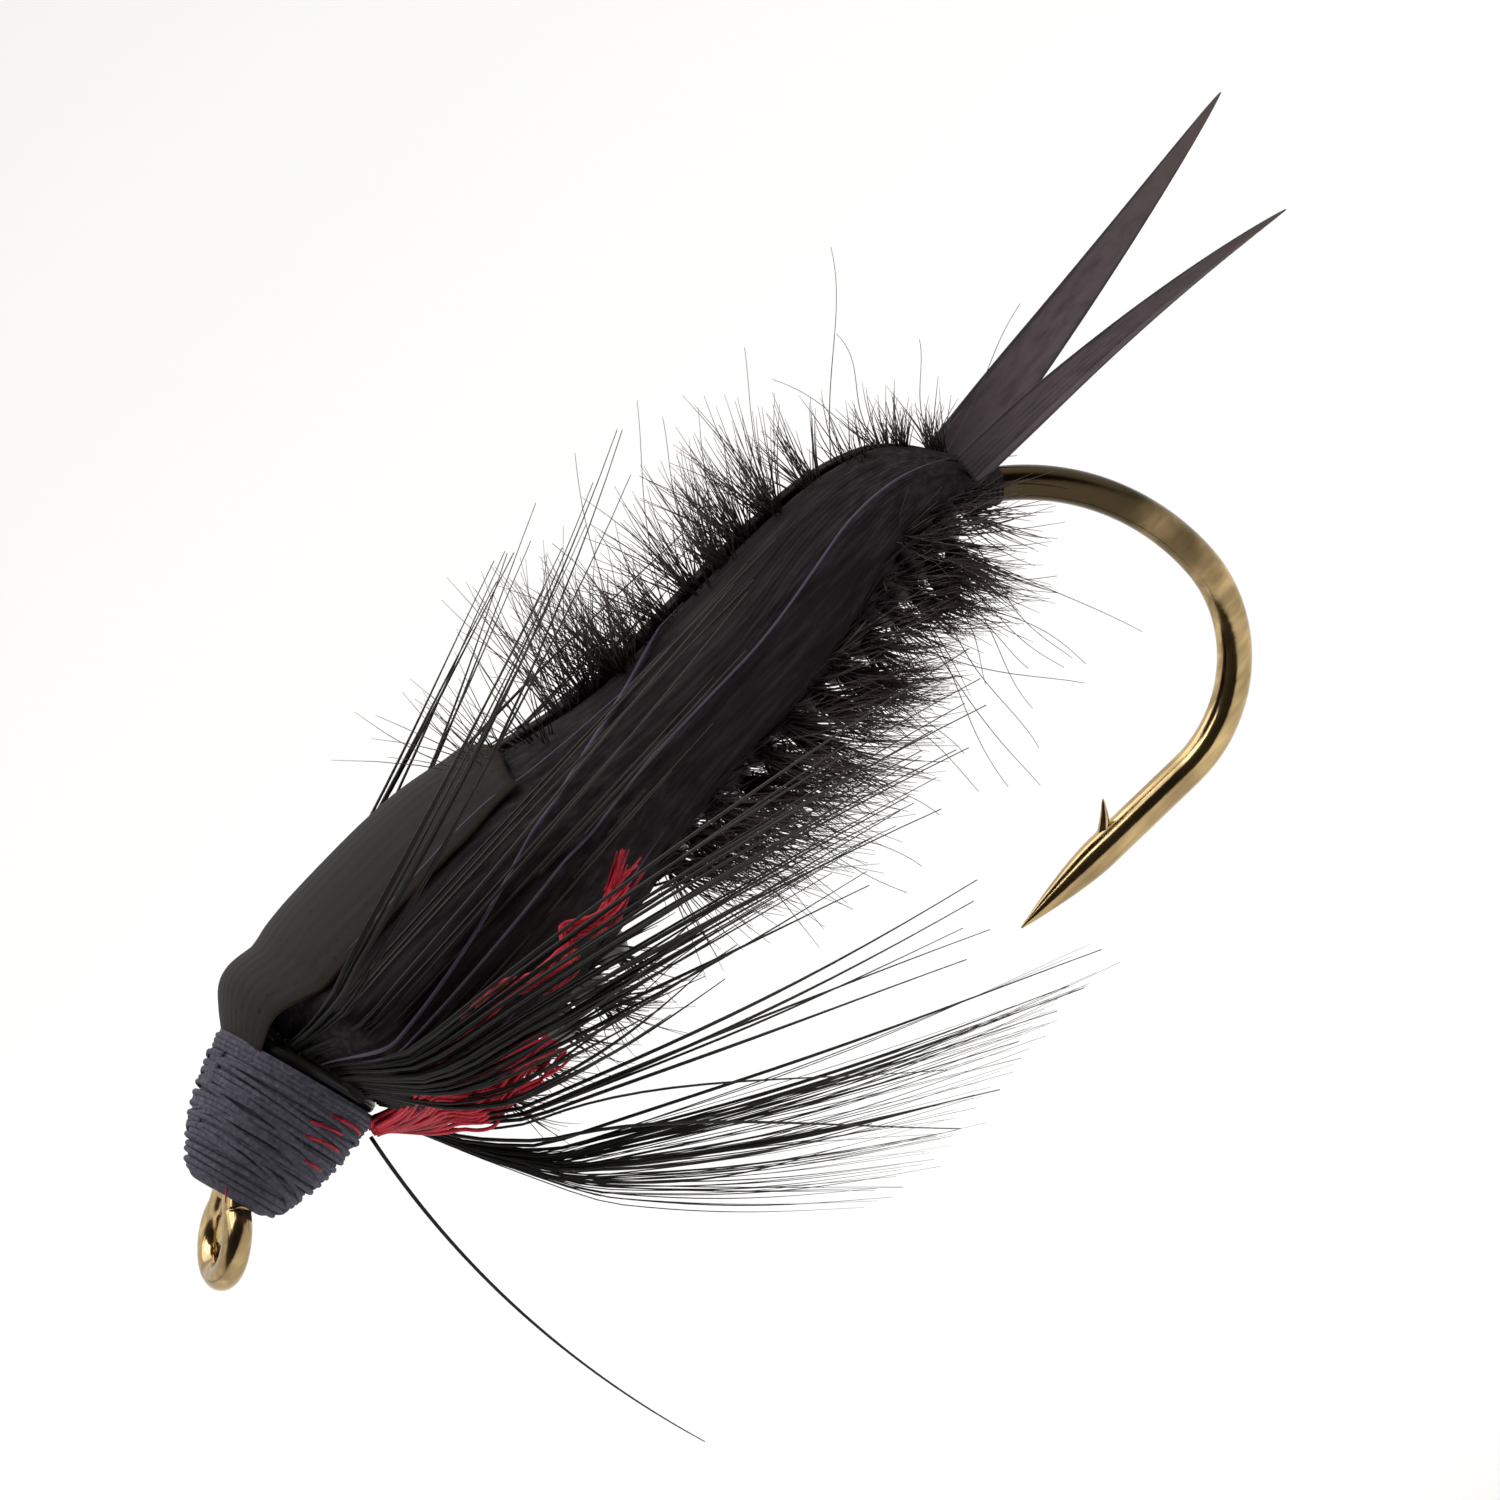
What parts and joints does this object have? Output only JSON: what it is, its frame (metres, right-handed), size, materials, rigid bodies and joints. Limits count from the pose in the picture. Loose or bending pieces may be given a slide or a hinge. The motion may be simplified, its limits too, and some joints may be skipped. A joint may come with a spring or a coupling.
{
  "type": "tied fishing fly",
  "caption": "Fishing fly tied on a barbed long-shank hook, with a wound herl body, quill wing slips and wing case, forked biot tail, swept hackle and thread head.",
  "frame": {"origin": "centre of the hole through the hook's eye", "axes": "+X along the shank from the eye towards the bend and the tail, +Z towards the back of the fly, +Y across it towards its right side; the hook lies in the XZ plane"},
  "size_m": [0.0324, 0.0109, 0.0171],
  "materials": {
    "hook_bronze": "polished bronzed steel wire",
    "thread_slate": "waxed tying thread",
    "thread_black": "waxed tying thread",
    "thread_red": "silky floss",
    "yarn_dark": "matt yarn",
    "herl": "fuzzy wound herl",
    "quill_black": "satin feather fibre",
    "case_olive": "satin feather strip",
    "biot_purple": "satin biot",
    "hackle_black": "glossy feather barbs"
  },
  "bodies": {
    "root": {"hook": "hook_bronze", "base_thread": "thread_red", "underbody": "yarn_dark", "tail_thread": "thread_black", "tail_biot_left": "biot_purple", "tail_biot_right": "biot_purple", "abdomen_herl_1": "herl", "abdomen_herl_2": "herl", "abdomen_herl_3": "herl", "thorax_herl_1": "herl", "thorax_herl_2": "herl", "wing_slip_left": "quill_black", "wing_slip_right": "quill_black", "wing_case": "case_olive", "throat_floss": "thread_red", "hackle_stem": "hackle_black", "hackle_upper_left": "hackle_black", "hackle_upper_right": "hackle_black", "hackle_side_left": "hackle_black", "hackle_side_right": "hackle_black", "hackle_belly": "hackle_black", "hackle_stray": "hackle_black", "head_thread": "thread_slate", "whip_finish": "thread_slate"}
  },
  "joints": []
}
